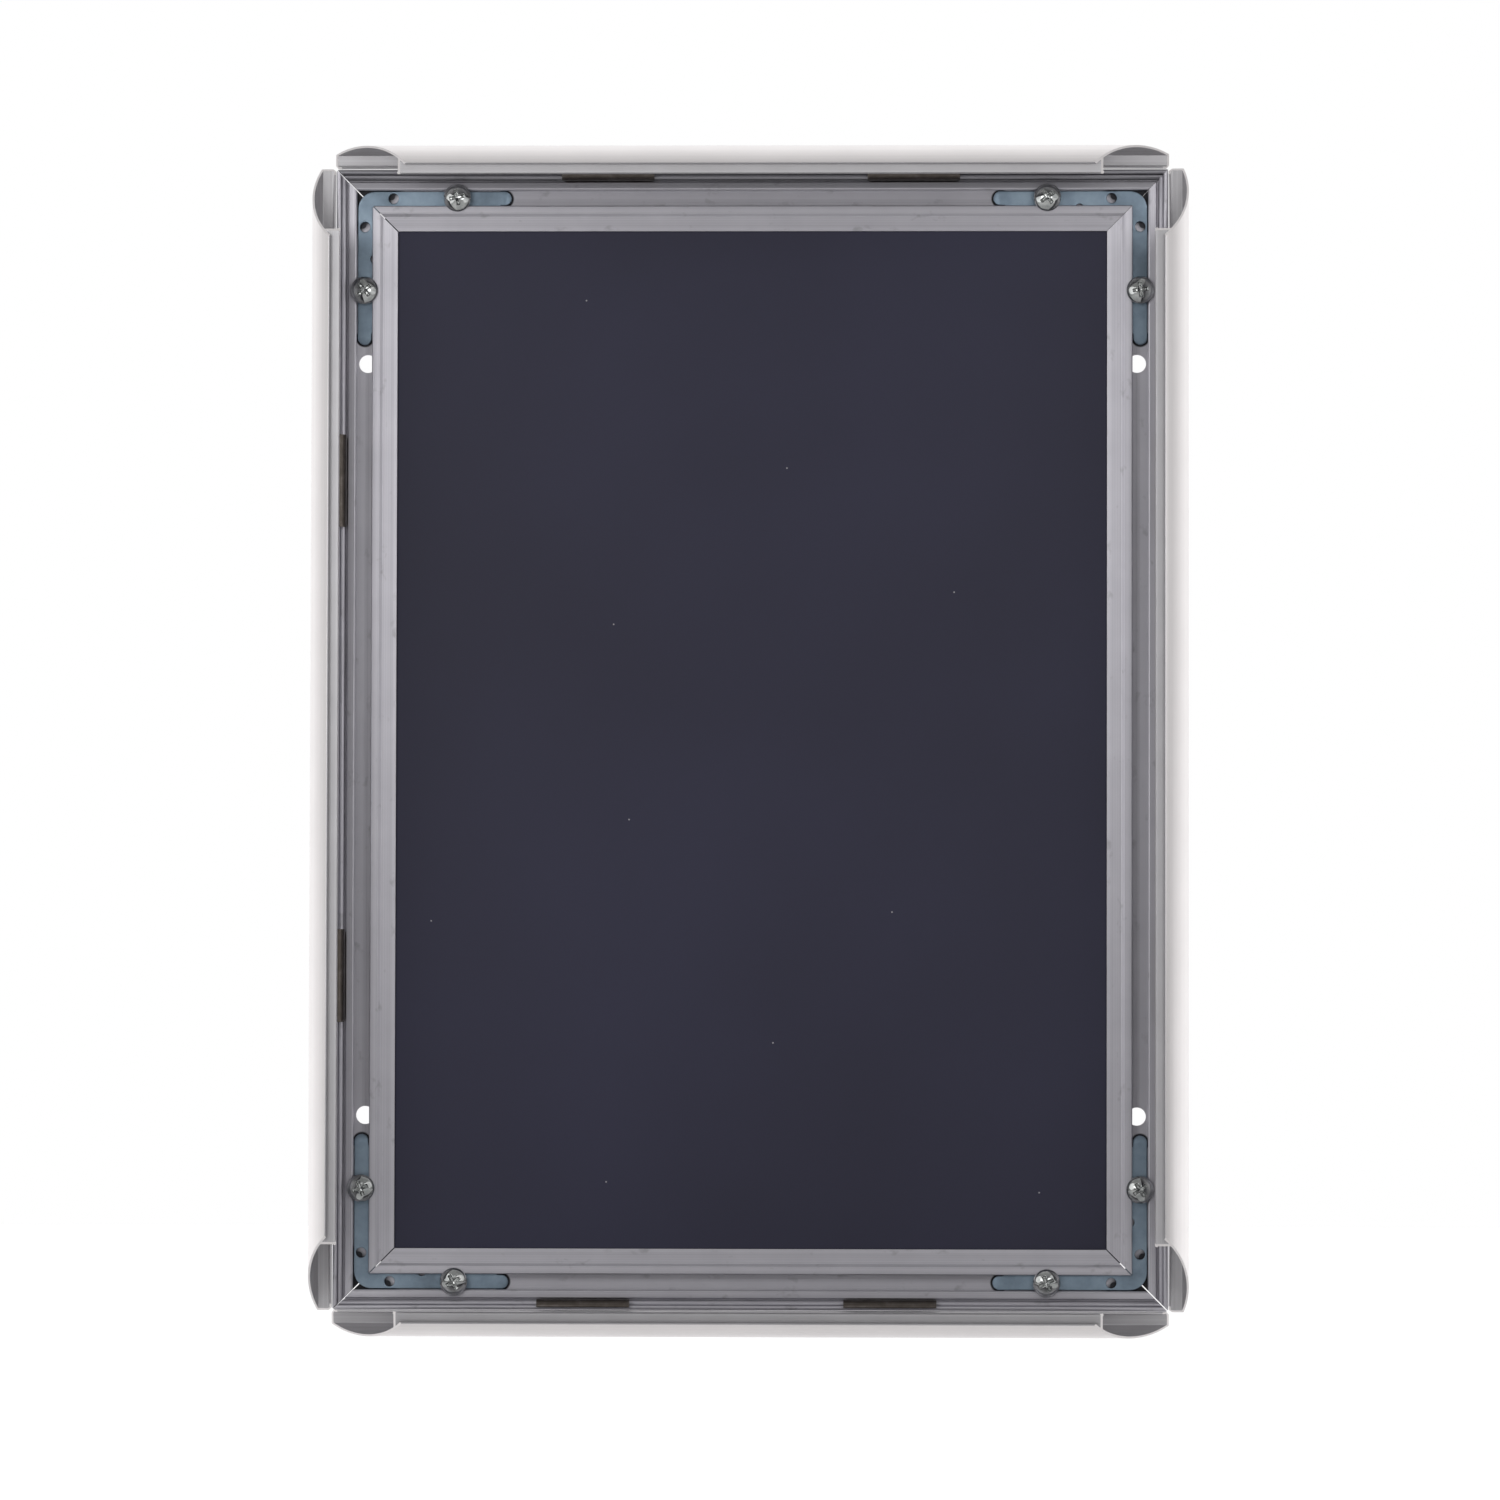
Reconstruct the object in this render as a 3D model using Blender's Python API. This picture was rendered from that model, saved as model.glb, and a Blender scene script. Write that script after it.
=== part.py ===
# Snap-open poster frame for an A4 sheet, with covers about 21 mm wide.
#
# The frame stands upright as it hangs: +Z up, the wall is the plane Y = 0, the
# viewer looks along +Y, and the origin is the middle of the frame on the wall.
# Four base rails are mitred and held by corner brackets in their channels. A
# curved cover hinges on the outer bead of each rail, and two leaf springs in a
# groove of the rail press on its foot. The covers are shown swung open.
#
# Each side is drawn lying in its own axes: X along the rail, Y inboard from the
# outermost face of the closed frame, Z out from the wall. An empty turns it.

import math

import bmesh
import bpy
from mathutils import Vector

MM = 0.001

# Driving sizes of the frame
SHEET_WIDTH = 210 * MM
SHEET_HEIGHT = 297 * MM
SHEET_CLEARANCE = 0.35 * MM
SEAT_GAP = 0.3 * MM
MITRE_GAP = 0.2 * MM
CUT_OVERRUN = 1 * MM

# Base rail: places inboard from the outermost face, and heights from the wall
RAIL_OUTER = 0.45 * MM
HINGE_INSET = 1.2 * MM
HINGE_HEIGHT = 6.4 * MM
BEAD_RADIUS = 0.65 * MM
NECK_WIDTH = 0.9 * MM
NECK_DROP = 2.4 * MM
SHOULDER_DROP = 1.6 * MM
GROOVE_INSET = 2.7 * MM
GROOVE_WIDTH = 1.0 * MM
GROOVE_FLOOR = 2.0 * MM
RIDGE_WIDTH = 0.7 * MM
RIDGE_HEIGHT = 4.7 * MM
CHANNEL_INSET = 6.1 * MM
CHANNEL_WIDTH = 4.4 * MM
CHANNEL_FLOOR = 0.9 * MM
LIP_UNDERSIDE = 2.9 * MM
LIP_HEIGHT = 3.9 * MM
LIP_CHAMFER = 0.25 * MM
OUTER_UNDERCUT = 0.4 * MM
INNER_UNDERCUT = 2.2 * MM
STEP_INSET = 12.9 * MM
FLANGE_HEIGHT = 3.1 * MM
FLANGE_THICKNESS = 0.8 * MM
FLANGE_WIDTH = 4.8 * MM
WEB_THICKNESS = 0.9 * MM
REAR_LIP_THICKNESS = 0.8 * MM
REAR_LIP_SETBACK = 1.1 * MM
WALL_HOLE_RADIUS = 2.55 * MM
WALL_HOLE_OFFSET = 106.5 * MM

# Snap cover, drawn closed; heights are from the hinge axis
COVER_WIDTH = 21.2 * MM
COVER_WALL = 0.6 * MM
FOOT_RISE = 1.8 * MM
FOOT_HOOK = 0.5 * MM
FOOT_FILLET_RISE = 0.6 * MM
FOOT_FILLET_REACH = 0.22 * MM
CROWN_INSET = 7.8 * MM
CROWN_RISE = 6.9 * MM
CROWN_RADIUS = 14.4 * MM
CROWN_END = 17.0 * MM
CLAMP_INSET = 18.8 * MM
CLAMP_THICKNESS = 0.65 * MM
CLAMP_REACH = 2.2 * MM
CLAMP_BARB = 0.3 * MM
CLAMP_TOE = 0.3 * MM
HOOK_START = math.radians(118)
HOOK_END = math.radians(60)
OPEN_ANGLE = {
    "bottom": math.radians(100),
    "right": math.radians(86.5),
    "top": math.radians(89),
    "left": math.radians(91.5),
}

# Leaf springs
SPRING_LENGTH = 26.2 * MM
SPRING_FOOT_LENGTH = 24.3 * MM
SPRING_THICKNESS = 0.35 * MM
SPRING_PITCH = 86.5 * MM
SIDE_SPRING_PITCH = 140 * MM
SPRING_CURL = math.radians(88)
SPRING_SHIFT = {
    "bottom": 3.7 * MM,
    "right": -2.8 * MM,
    "top": 2.6 * MM,
    "left": 2.8 * MM,
}

# Corner brackets and their screws
BRACKET_THICKNESS = 1.4 * MM
BRACKET_EDGE_GAP = 0.2 * MM
BRACKET_REACH = 43.8 * MM
BRACKET_CORNER_RADIUS = 5.0 * MM
TONGUE_LENGTH = 3.2 * MM
FIRST_HOLE = 10.3 * MM
FIRST_HOLE_RADIUS = 1.45 * MM
SECOND_HOLE = 19.4 * MM
SECOND_HOLE_RADIUS = 1.1 * MM
SECOND_HOLE_SETBACK = 0.5 * MM
SCREW_PLACE = 28.5 * MM
SCREW_RADIUS = 1.9 * MM
SCREW_HEAD_RADIUS = 3.9 * MM
SCREW_HEAD_HEIGHT = 2.5 * MM
SCREW_RIM_HEIGHT = 0.5 * MM
RECESS_DEPTH = 1.5 * MM
RECESS_SPAN = 2.3 * MM
RECESS_WING = 0.55 * MM
RECESS_TAPER_SHARE = 0.45

# Backing panel
PANEL_THICKNESS = 0.9 * MM

# Smoothness of the curved outlines
CROWN_STEPS = 26
BEAD_STEPS = 14
CURL_STEPS = 10
CORNER_STEPS = 12
TURN_STEPS = 24
DOME_STEPS = 5

# Sizes that follow from the driving ones
FRAME_WIDTH = SHEET_WIDTH + 2 * (STEP_INSET + SHEET_CLEARANCE)
FRAME_HEIGHT = SHEET_HEIGHT + 2 * (STEP_INSET + SHEET_CLEARANCE)
CHANNEL_INNER = CHANNEL_INSET + CHANNEL_WIDTH
CHANNEL_CENTRE = CHANNEL_INSET + CHANNEL_WIDTH / 2
CAVITY_OUTER = CHANNEL_INSET - OUTER_UNDERCUT
CAVITY_INNER = CHANNEL_INNER + INNER_UNDERCUT
STEP_RUN = (LIP_HEIGHT - FLANGE_HEIGHT) / 2
FLANGE_EDGE = STEP_INSET + FLANGE_WIDTH
PANEL_GROOVE = CAVITY_INNER + WEB_THICKNESS
HOOK_RADIUS = BEAD_RADIUS + SEAT_GAP

# Each side: its turn about Y, its length, and the other dimension of the frame
SIDES = {
    "bottom": (0.0, FRAME_WIDTH, FRAME_HEIGHT),
    "right": (-math.pi / 2, FRAME_HEIGHT, FRAME_WIDTH),
    "top": (math.pi, FRAME_WIDTH, FRAME_HEIGHT),
    "left": (math.pi / 2, FRAME_HEIGHT, FRAME_WIDTH),
}


def clear_scene():
    for old in list(bpy.data.objects):
        bpy.data.objects.remove(old, do_unlink=True)


def make_material(name, color, roughness, metallic):
    material = bpy.data.materials.new(name)
    material.use_nodes = True
    shader = material.node_tree.nodes["Principled BSDF"]
    shader.inputs["Base Color"].default_value = (*color, 1.0)
    shader.inputs["Roughness"].default_value = roughness
    shader.inputs["Metallic"].default_value = metallic
    return material


def arc(center, radius, start, end, steps):
    """Points of an arc in the outline plane, both ends included."""
    points = []
    for step in range(steps + 1):
        angle = start + (end - start) * step / steps
        points.append((center[0] + radius * math.cos(angle), center[1] + radius * math.sin(angle)))
    return points


def add_object(name, mesh, material, parent=None):
    obj = bpy.data.objects.new(name, mesh)
    bpy.context.scene.collection.objects.link(obj)
    if material:
        mesh.materials.append(material)
    obj.parent = parent
    return obj


def finish_mesh(name, bm, smooth_angle=math.radians(25)):
    bmesh.ops.recalc_face_normals(bm, faces=bm.faces)
    mesh = bpy.data.meshes.new(name)
    bm.to_mesh(mesh)
    bm.free()
    mesh.shade_smooth()
    mesh.set_sharp_from_angle(angle=smooth_angle)
    return mesh


def section_mesh(name, outline, half_length):
    """A closed outline in (Y, Z) carried along X; half_length(point) sets where each corner ends."""
    bm = bmesh.new()
    near = [bm.verts.new((-half_length(point), point[0], point[1])) for point in outline]
    cap = bm.faces.new(near)
    grown = bmesh.ops.extrude_face_region(bm, geom=[cap], use_keep_orig=True)
    far = [item for item in grown["geom"] if isinstance(item, bmesh.types.BMVert)]
    for vert in far:
        vert.co.x = -vert.co.x
    return finish_mesh(name, bm)


def plate_mesh(name, outline, low, high):
    """A closed outline in (X, Y), made solid between two heights."""
    bm = bmesh.new()
    cap = bm.faces.new([bm.verts.new((x, y, low)) for x, y in outline])
    grown = bmesh.ops.extrude_face_region(bm, geom=[cap], use_keep_orig=True)
    far = [item for item in grown["geom"] if isinstance(item, bmesh.types.BMVert)]
    bmesh.ops.translate(bm, verts=far, vec=Vector((0, 0, high - low)))
    return finish_mesh(name, bm)


def turned_mesh(name, profile):
    """A profile of (radius, height) from the bottom pole to the top pole, turned about Z."""
    bm = bmesh.new()
    rings = []
    for radius, height in profile:
        if radius == 0:
            rings.append([bm.verts.new((0, 0, height))])
            continue
        ring = []
        for step in range(TURN_STEPS):
            angle = 2 * math.pi * step / TURN_STEPS
            ring.append(bm.verts.new((radius * math.cos(angle), radius * math.sin(angle), height)))
        rings.append(ring)
    for lower, upper in zip(rings, rings[1:]):
        for step in range(TURN_STEPS):
            after = (step + 1) % TURN_STEPS
            if len(lower) == 1:
                bm.faces.new((lower[0], upper[after], upper[step]))
            elif len(upper) == 1:
                bm.faces.new((lower[step], lower[after], upper[0]))
            else:
                bm.faces.new((lower[step], lower[after], upper[after], upper[step]))
    return finish_mesh(name, bm)


def cylinders_mesh(name, places, low, high):
    """Upright cylinders at (x, y, radius), for cutting holes."""
    bm = bmesh.new()
    for x, y, radius in places:
        made = bmesh.ops.create_cone(
            bm, cap_ends=True, segments=TURN_STEPS,
            radius1=radius, radius2=radius, depth=high - low,
        )
        bmesh.ops.translate(bm, verts=made["verts"], vec=Vector((x, y, (low + high) / 2)))
    return finish_mesh(name, bm)


def cut(target, cutter):
    cutter.hide_render = True
    cutter.display_type = "WIRE"
    boolean = target.modifiers.new("cut_" + cutter.name, "BOOLEAN")
    boolean.operation = "DIFFERENCE"
    boolean.object = cutter


def rail_outline():
    """Section of the base rail: back, panel groove, flange, channel, spring groove, hinge bead."""
    groove_top = FLANGE_HEIGHT - FLANGE_THICKNESS
    rear_edge = FLANGE_EDGE - REAR_LIP_SETBACK
    outline = [
        (RAIL_OUTER, 0),
        (rear_edge, 0),
        (rear_edge, REAR_LIP_THICKNESS),
        (PANEL_GROOVE, REAR_LIP_THICKNESS),
        (PANEL_GROOVE, groove_top),
        (FLANGE_EDGE, groove_top),
        (FLANGE_EDGE, FLANGE_HEIGHT),
        (STEP_INSET + STEP_RUN, FLANGE_HEIGHT),
        (STEP_INSET, LIP_HEIGHT),
        (CHANNEL_INNER + LIP_CHAMFER, LIP_HEIGHT),
        (CHANNEL_INNER, LIP_HEIGHT - LIP_CHAMFER),
        (CHANNEL_INNER, LIP_UNDERSIDE),
        (CAVITY_INNER, LIP_UNDERSIDE),
        (CAVITY_INNER, CHANNEL_FLOOR),
        (CAVITY_OUTER, CHANNEL_FLOOR),
        (CAVITY_OUTER, LIP_UNDERSIDE),
        (CHANNEL_INSET, LIP_UNDERSIDE),
        (CHANNEL_INSET, LIP_HEIGHT - LIP_CHAMFER),
        (CHANNEL_INSET - LIP_CHAMFER, LIP_HEIGHT),
        (GROOVE_INSET + GROOVE_WIDTH + LIP_CHAMFER, LIP_HEIGHT),
        (GROOVE_INSET + GROOVE_WIDTH, LIP_HEIGHT - LIP_CHAMFER),
        (GROOVE_INSET + GROOVE_WIDTH, GROOVE_FLOOR),
        (GROOVE_INSET, GROOVE_FLOOR),
        (GROOVE_INSET, RIDGE_HEIGHT - LIP_CHAMFER),
        (GROOVE_INSET - LIP_CHAMFER, RIDGE_HEIGHT),
        (GROOVE_INSET - RIDGE_WIDTH, RIDGE_HEIGHT),
        (HINGE_INSET + NECK_WIDTH / 2, HINGE_HEIGHT - NECK_DROP),
    ]
    under = math.asin(NECK_WIDTH / 2 / BEAD_RADIUS)
    outline += arc(
        (HINGE_INSET, HINGE_HEIGHT), BEAD_RADIUS, under - math.pi / 2, 3 * math.pi / 2 - under, BEAD_STEPS
    )
    outline.append((HINGE_INSET - NECK_WIDTH / 2, HINGE_HEIGHT - SHOULDER_DROP / 2 - BEAD_RADIUS / 2))
    outline.append((RAIL_OUTER, HINGE_HEIGHT - SHOULDER_DROP))
    return outline


def cover_outline():
    """Section of the closed cover about its hinge axis: foot, outer face, crown, lip and hollow."""
    crown = (CROWN_INSET - HINGE_INSET, CROWN_RISE - CROWN_RADIUS)
    outer_face = -HINGE_INSET
    inner_face = outer_face + COVER_WALL
    inner_radius = CROWN_RADIUS - COVER_WALL
    crown_end = math.acos((CROWN_END - CROWN_INSET) / CROWN_RADIUS)
    crown_start = math.acos((outer_face - crown[0]) / CROWN_RADIUS)
    hollow_start = math.acos((inner_face - crown[0]) / inner_radius)

    fall = Vector((math.sin(crown_end), -math.cos(crown_end)))
    end_outer = Vector(crown) + CROWN_RADIUS * Vector((math.cos(crown_end), math.sin(crown_end)))
    end_inner = end_outer - COVER_WALL * Vector((math.cos(crown_end), math.sin(crown_end)))
    tip_run = (COVER_WIDTH - CROWN_END) / fall.x
    tip_outer = end_outer + tip_run * fall
    tip_inner = tip_outer - COVER_WALL * Vector((math.cos(crown_end), math.sin(crown_end)))

    def slope_height(along):
        return end_inner.y + (along - end_inner.x) * fall.y / fall.x

    clamp_back = CLAMP_INSET - HINGE_INSET
    clamp_front = clamp_back + CLAMP_THICKNESS
    hook_outer = HOOK_RADIUS + FOOT_HOOK
    hook_meets = math.acos(inner_face / hook_outer)
    fillet_top = hook_outer * math.sin(hook_meets) + FOOT_FILLET_RISE
    fillet_end = hook_meets - FOOT_FILLET_REACH / hook_outer

    outline = [(outer_face, FOOT_RISE)]
    outline += arc(crown, CROWN_RADIUS, crown_start, crown_end, CROWN_STEPS)
    outline += [
        tuple(tip_outer),
        tuple(tip_inner),
        (clamp_front, slope_height(clamp_front)),
        (clamp_front, -CLAMP_REACH + CLAMP_TOE),
        (clamp_front + CLAMP_TOE, -CLAMP_REACH),
        (clamp_back, -CLAMP_REACH),
        (clamp_back - CLAMP_BARB, -CLAMP_REACH + 2 * CLAMP_BARB),
        (clamp_back, -CLAMP_REACH + 3 * CLAMP_BARB),
        (clamp_back, slope_height(clamp_back)),
    ]
    outline += arc(crown, inner_radius, crown_end, hollow_start, CROWN_STEPS)
    outline.append((inner_face, fillet_top))
    outline += arc((0, 0), hook_outer, fillet_end, HOOK_END, BEAD_STEPS // 2)
    outline += arc((0, 0), HOOK_RADIUS, HOOK_END, HOOK_START, BEAD_STEPS // 2)
    return outline


def spring_outline():
    """Section of a leaf spring: a straight leg in the groove, curled round the cover's foot."""
    leg = GROOVE_INSET + GROOVE_WIDTH / 2 - HINGE_INSET
    inner = leg - SPRING_THICKNESS / 2
    outer = leg + SPRING_THICKNESS / 2
    foot = GROOVE_FLOOR + SEAT_GAP - HINGE_HEIGHT
    return (
        [(inner, foot), (outer, foot)]
        + arc((0, 0), outer, 0, SPRING_CURL, CURL_STEPS)
        + arc((0, 0), inner, SPRING_CURL, 0, CURL_STEPS)
    )


def bracket_outline():
    """The bracket's L, from the outer corner of the frame: X along one rail, Y along the other."""
    edge = CHANNEL_INSET + BRACKET_EDGE_GAP
    inner = CAVITY_INNER - SEAT_GAP
    tongue_side = CHANNEL_INNER - BRACKET_EDGE_GAP
    tongue_radius = (tongue_side - edge) / 2
    end = CHANNEL_INSET + BRACKET_REACH
    shoulder = end - TONGUE_LENGTH
    rounding = BRACKET_CORNER_RADIUS
    outline = arc((edge + rounding, edge + rounding), rounding, math.pi, 3 * math.pi / 2, CORNER_STEPS)
    outline += arc((end - tongue_radius, edge + tongue_radius), tongue_radius, -math.pi / 2, math.pi / 2, CORNER_STEPS)
    outline += [(shoulder, tongue_side), (shoulder, inner), (inner, inner), (inner, shoulder), (tongue_side, shoulder)]
    outline += arc((edge + tongue_radius, end - tongue_radius), tongue_radius, 0, math.pi, CORNER_STEPS)
    return outline


def bracket_holes():
    """Holes of the bracket as (x, y, radius) from the outer corner.

    Both arms have the first hole and the screw's. The second hole is in the arm along X
    only, with its centre set back under the channel's inner lip.
    """
    both_arms = [
        (CHANNEL_INSET + FIRST_HOLE, CHANNEL_CENTRE, FIRST_HOLE_RADIUS),
        (CHANNEL_INSET + SCREW_PLACE, CHANNEL_CENTRE, SCREW_RADIUS + SEAT_GAP),
    ]
    second = (CHANNEL_INSET + SECOND_HOLE, CHANNEL_INNER + SECOND_HOLE_SETBACK, SECOND_HOLE_RADIUS)
    return both_arms + [(across, along, radius) for along, across, radius in both_arms] + [second]


def screw_mesh(name):
    """A pan-head screw, standing on Z = 0 at the underside of its head."""
    dome_radius = (SCREW_HEAD_RADIUS ** 2 + (SCREW_HEAD_HEIGHT - SCREW_RIM_HEIGHT) ** 2) / (
        2 * (SCREW_HEAD_HEIGHT - SCREW_RIM_HEIGHT)
    )
    dome_center = (0, SCREW_HEAD_HEIGHT - dome_radius)
    rim_angle = math.acos(SCREW_HEAD_RADIUS / dome_radius)
    head_bottom = LIP_HEIGHT + SEAT_GAP
    shank_end = CHANNEL_FLOOR + SEAT_GAP - head_bottom
    profile = [(0, shank_end), (SCREW_RADIUS, shank_end), (SCREW_RADIUS, 0), (SCREW_HEAD_RADIUS, 0)]
    profile += arc(dome_center, dome_radius, rim_angle, math.pi / 2, DOME_STEPS)[:-1]
    profile.append((0, SCREW_HEAD_HEIGHT))
    return turned_mesh(name, profile)


def recess_mesh(name):
    """The cross-shaped driver recess, narrower at its bottom."""
    wide = RECESS_SPAN
    slim = RECESS_WING
    corner_signs = [(1, 1), (-1, 1), (-1, -1), (1, -1)]
    outline = []
    for x_sign, y_sign in corner_signs:
        points = [(wide, slim), (slim, slim), (slim, wide)]
        if x_sign * y_sign < 0:
            points.reverse()
        outline += [(x_sign * x, y_sign * y) for x, y in points]
    bm = bmesh.new()
    top = SCREW_HEAD_HEIGHT + CUT_OVERRUN
    bottom = SCREW_HEAD_HEIGHT - RECESS_DEPTH
    upper = [bm.verts.new((x, y, top)) for x, y in outline]
    lower = [bm.verts.new((x * RECESS_TAPER_SHARE, y * RECESS_TAPER_SHARE, bottom)) for x, y in outline]
    bm.faces.new(upper)
    bm.faces.new(list(reversed(lower)))
    for here in range(len(outline)):
        after = (here + 1) % len(outline)
        bm.faces.new((upper[here], lower[here], lower[after], upper[after]))
    return finish_mesh(name, bm)


def make_side_axes(side):
    """An empty at the middle of a side's outer edge: X along it, Y inboard, Z out from the wall."""
    turn, _, across = SIDES[side]
    axes = bpy.data.objects.new("axes_" + side, None)
    bpy.context.scene.collection.objects.link(axes)
    axes.rotation_euler = (math.pi / 2, turn, 0)
    axes.location = (-math.sin(turn) * across / 2, 0, -math.cos(turn) * across / 2)
    return axes


def make_rail(side, axes, material):
    _, length, _ = SIDES[side]
    name = "rail_" + side
    mesh = section_mesh(name, rail_outline(), lambda point: length / 2 - point[0] - MITRE_GAP)
    rail = add_object(name, mesh, material, axes)
    if side in ("left", "right"):
        cavity_centre = (CAVITY_OUTER + CAVITY_INNER) / 2
        places = [(sign * WALL_HOLE_OFFSET, cavity_centre, WALL_HOLE_RADIUS) for sign in (-1, 1)]
        holes = cylinders_mesh("wall_holes_" + side, places, -CUT_OVERRUN, LIP_UNDERSIDE / 2)
        cut(rail, add_object("wall_holes_" + side, holes, None, axes))
    return rail


def make_cover(side, axes, material):
    _, length, _ = SIDES[side]
    name = "cover_" + side
    mesh = section_mesh(
        name, cover_outline(), lambda point: length / 2 - point[0] - HINGE_INSET - MITRE_GAP
    )
    cover = add_object(name, mesh, material, axes)
    cover.location = (0, HINGE_INSET, HINGE_HEIGHT)
    cover.rotation_euler.x = OPEN_ANGLE[side]
    return cover


def make_springs(side, axes, material):
    pitch = SIDE_SPRING_PITCH if side in ("left", "right") else SPRING_PITCH

    def half_length(point):
        return SPRING_FOOT_LENGTH / 2 if point[1] < -HINGE_HEIGHT / 2 else SPRING_LENGTH / 2

    for number, sign in enumerate((-1, 1), start=1):
        name = "spring_{}_{}".format(side, number)
        spring = add_object(name, section_mesh(name, spring_outline(), half_length), material, axes)
        spring.location = (sign * pitch / 2 - SPRING_SHIFT[side], HINGE_INSET, HINGE_HEIGHT)


def make_corner(corner, bracket_material, screw_material):
    """A bracket with its two screws; the corner's empty has X and Y inboard along the two rails."""
    name, x_sign, z_sign = corner
    axes = bpy.data.objects.new("axes_" + name, None)
    bpy.context.scene.collection.objects.link(axes)
    axes.location = (x_sign * FRAME_WIDTH / 2, 0, z_sign * FRAME_HEIGHT / 2)
    turn = {(-1, -1): 0, (1, -1): -math.pi / 2, (1, 1): math.pi, (-1, 1): math.pi / 2}[(x_sign, z_sign)]
    axes.rotation_euler = (math.pi / 2, turn, 0)

    top = LIP_UNDERSIDE - SEAT_GAP
    mesh = plate_mesh("bracket_" + name, bracket_outline(), top - BRACKET_THICKNESS, top)
    bracket = add_object("bracket_" + name, mesh, bracket_material, axes)
    holes = cylinders_mesh(
        "bracket_holes_" + name, bracket_holes(), top - BRACKET_THICKNESS - CUT_OVERRUN, top + CUT_OVERRUN
    )
    cut(bracket, add_object("bracket_holes_" + name, holes, None, axes))

    screw_along = CHANNEL_INSET + SCREW_PLACE
    places = [(screw_along, CHANNEL_CENTRE), (CHANNEL_CENTRE, screw_along)]
    for number, (x, y) in enumerate(places, start=1):
        screw_name = "screw_{}_{}".format(name, number)
        screw = add_object(screw_name, screw_mesh(screw_name), screw_material, axes)
        screw.location = (x, y, LIP_HEIGHT + SEAT_GAP)
        recess = add_object("recess_{}_{}".format(name, number), recess_mesh("recess"), None, screw)
        cut(screw, recess)


def make_panel(material):
    edge = PANEL_GROOVE + SEAT_GAP
    half_width = FRAME_WIDTH / 2 - edge
    half_height = FRAME_HEIGHT / 2 - edge
    low = REAR_LIP_THICKNESS + SEAT_GAP
    outline = [
        (-half_width, -half_height),
        (half_width, -half_height),
        (half_width, half_height),
        (-half_width, half_height),
    ]
    mesh = plate_mesh("back_panel", outline, low, low + PANEL_THICKNESS)
    panel = add_object("back_panel", mesh, material)
    panel.rotation_euler.x = math.pi / 2


def main():
    clear_scene()
    aluminium = make_material("anodised_aluminium", (0.62, 0.62, 0.64), 0.38, 1.0)
    cover_finish = make_material("cover_aluminium", (0.72, 0.72, 0.73), 0.32, 1.0)
    zinc = make_material("zinc_plate", (0.42, 0.48, 0.53), 0.35, 1.0)
    bright_steel = make_material("bright_steel", (0.60, 0.60, 0.61), 0.18, 1.0)
    spring_steel = make_material("spring_steel", (0.045, 0.037, 0.032), 0.40, 0.8)
    panel_plastic = make_material("panel_plastic", (0.045, 0.045, 0.058), 0.55, 0.0)

    for side in SIDES:
        axes = make_side_axes(side)
        make_rail(side, axes, aluminium)
        make_cover(side, axes, cover_finish)
        make_springs(side, axes, spring_steel)
    for corner in (
        ("bottom_left", -1, -1),
        ("bottom_right", 1, -1),
        ("top_right", 1, 1),
        ("top_left", -1, 1),
    ):
        make_corner(corner, zinc, bright_steel)
    make_panel(panel_plastic)


main()
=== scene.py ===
import math

import bmesh
import bpy
import numpy as np
from mathutils import Matrix, Vector, geometry


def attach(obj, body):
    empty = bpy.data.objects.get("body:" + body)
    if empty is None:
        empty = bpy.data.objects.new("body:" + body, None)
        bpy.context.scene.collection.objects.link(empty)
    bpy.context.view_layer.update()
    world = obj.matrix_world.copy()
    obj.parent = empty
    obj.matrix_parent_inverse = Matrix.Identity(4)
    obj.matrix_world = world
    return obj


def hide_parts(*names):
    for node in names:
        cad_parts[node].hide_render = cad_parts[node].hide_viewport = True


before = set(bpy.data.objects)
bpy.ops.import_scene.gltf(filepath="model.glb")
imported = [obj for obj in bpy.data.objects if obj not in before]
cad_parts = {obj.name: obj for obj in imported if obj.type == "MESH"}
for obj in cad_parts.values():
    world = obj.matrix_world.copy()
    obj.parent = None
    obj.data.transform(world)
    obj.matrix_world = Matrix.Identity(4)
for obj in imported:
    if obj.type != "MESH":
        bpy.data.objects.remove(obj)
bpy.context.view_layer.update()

print("frame loaded:", len(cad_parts), "nodes")

# Snap-open poster frame for an A4 sheet, hanging upright: X across, Z up, the wall at Y = 0.
# Sizes below are in millimetres; each side is drawn lying down, x along the rail,
# y inboard from the outermost face, z out from the wall, and then stood in its place.

mm = 0.001

outer = {"width": 236.5, "height": 323.5}

sides = {   # name: (turn about Y, own length, size of the frame across it)
    "bottom": (0.0, outer["width"], outer["height"]),
    "right": (-math.pi / 2, outer["height"], outer["width"]),
    "top": (math.pi, outer["width"], outer["height"]),
    "left": (math.pi / 2, outer["height"], outer["width"]),
}

corners = {   # name: (turn about Y, x side, z side)
    "bottom_left": (0.0, -1, -1),
    "bottom_right": (-math.pi / 2, 1, -1),
    "top_right": (math.pi, 1, 1),
    "top_left": (math.pi / 2, -1, 1),
}


# ---- node helpers, for the surroundings and the finishes ----

noiseSpan = (0.3, 0.7)   # most of a noise's values lie between these


def newFinish(name, color, roughness, metallic, specular=0.5):
    material = bpy.data.materials.new(name)
    material.use_nodes = True
    shader = material.node_tree.nodes["Principled BSDF"]
    shader.inputs["Base Color"].default_value = (*color, 1)
    shader.inputs["Roughness"].default_value = roughness
    shader.inputs["Metallic"].default_value = metallic
    shader.inputs["Specular IOR Level"].default_value = specular
    return material, material.node_tree, shader


def addNode(tree, kind, **settings):
    node = tree.nodes.new(kind)
    for key, value in settings.items():
        setattr(node, key, value)
    return node


def splitAxes(tree, vector):
    node = addNode(tree, "ShaderNodeSeparateXYZ")
    tree.links.new(vector, node.inputs[0])
    return node.outputs


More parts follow.
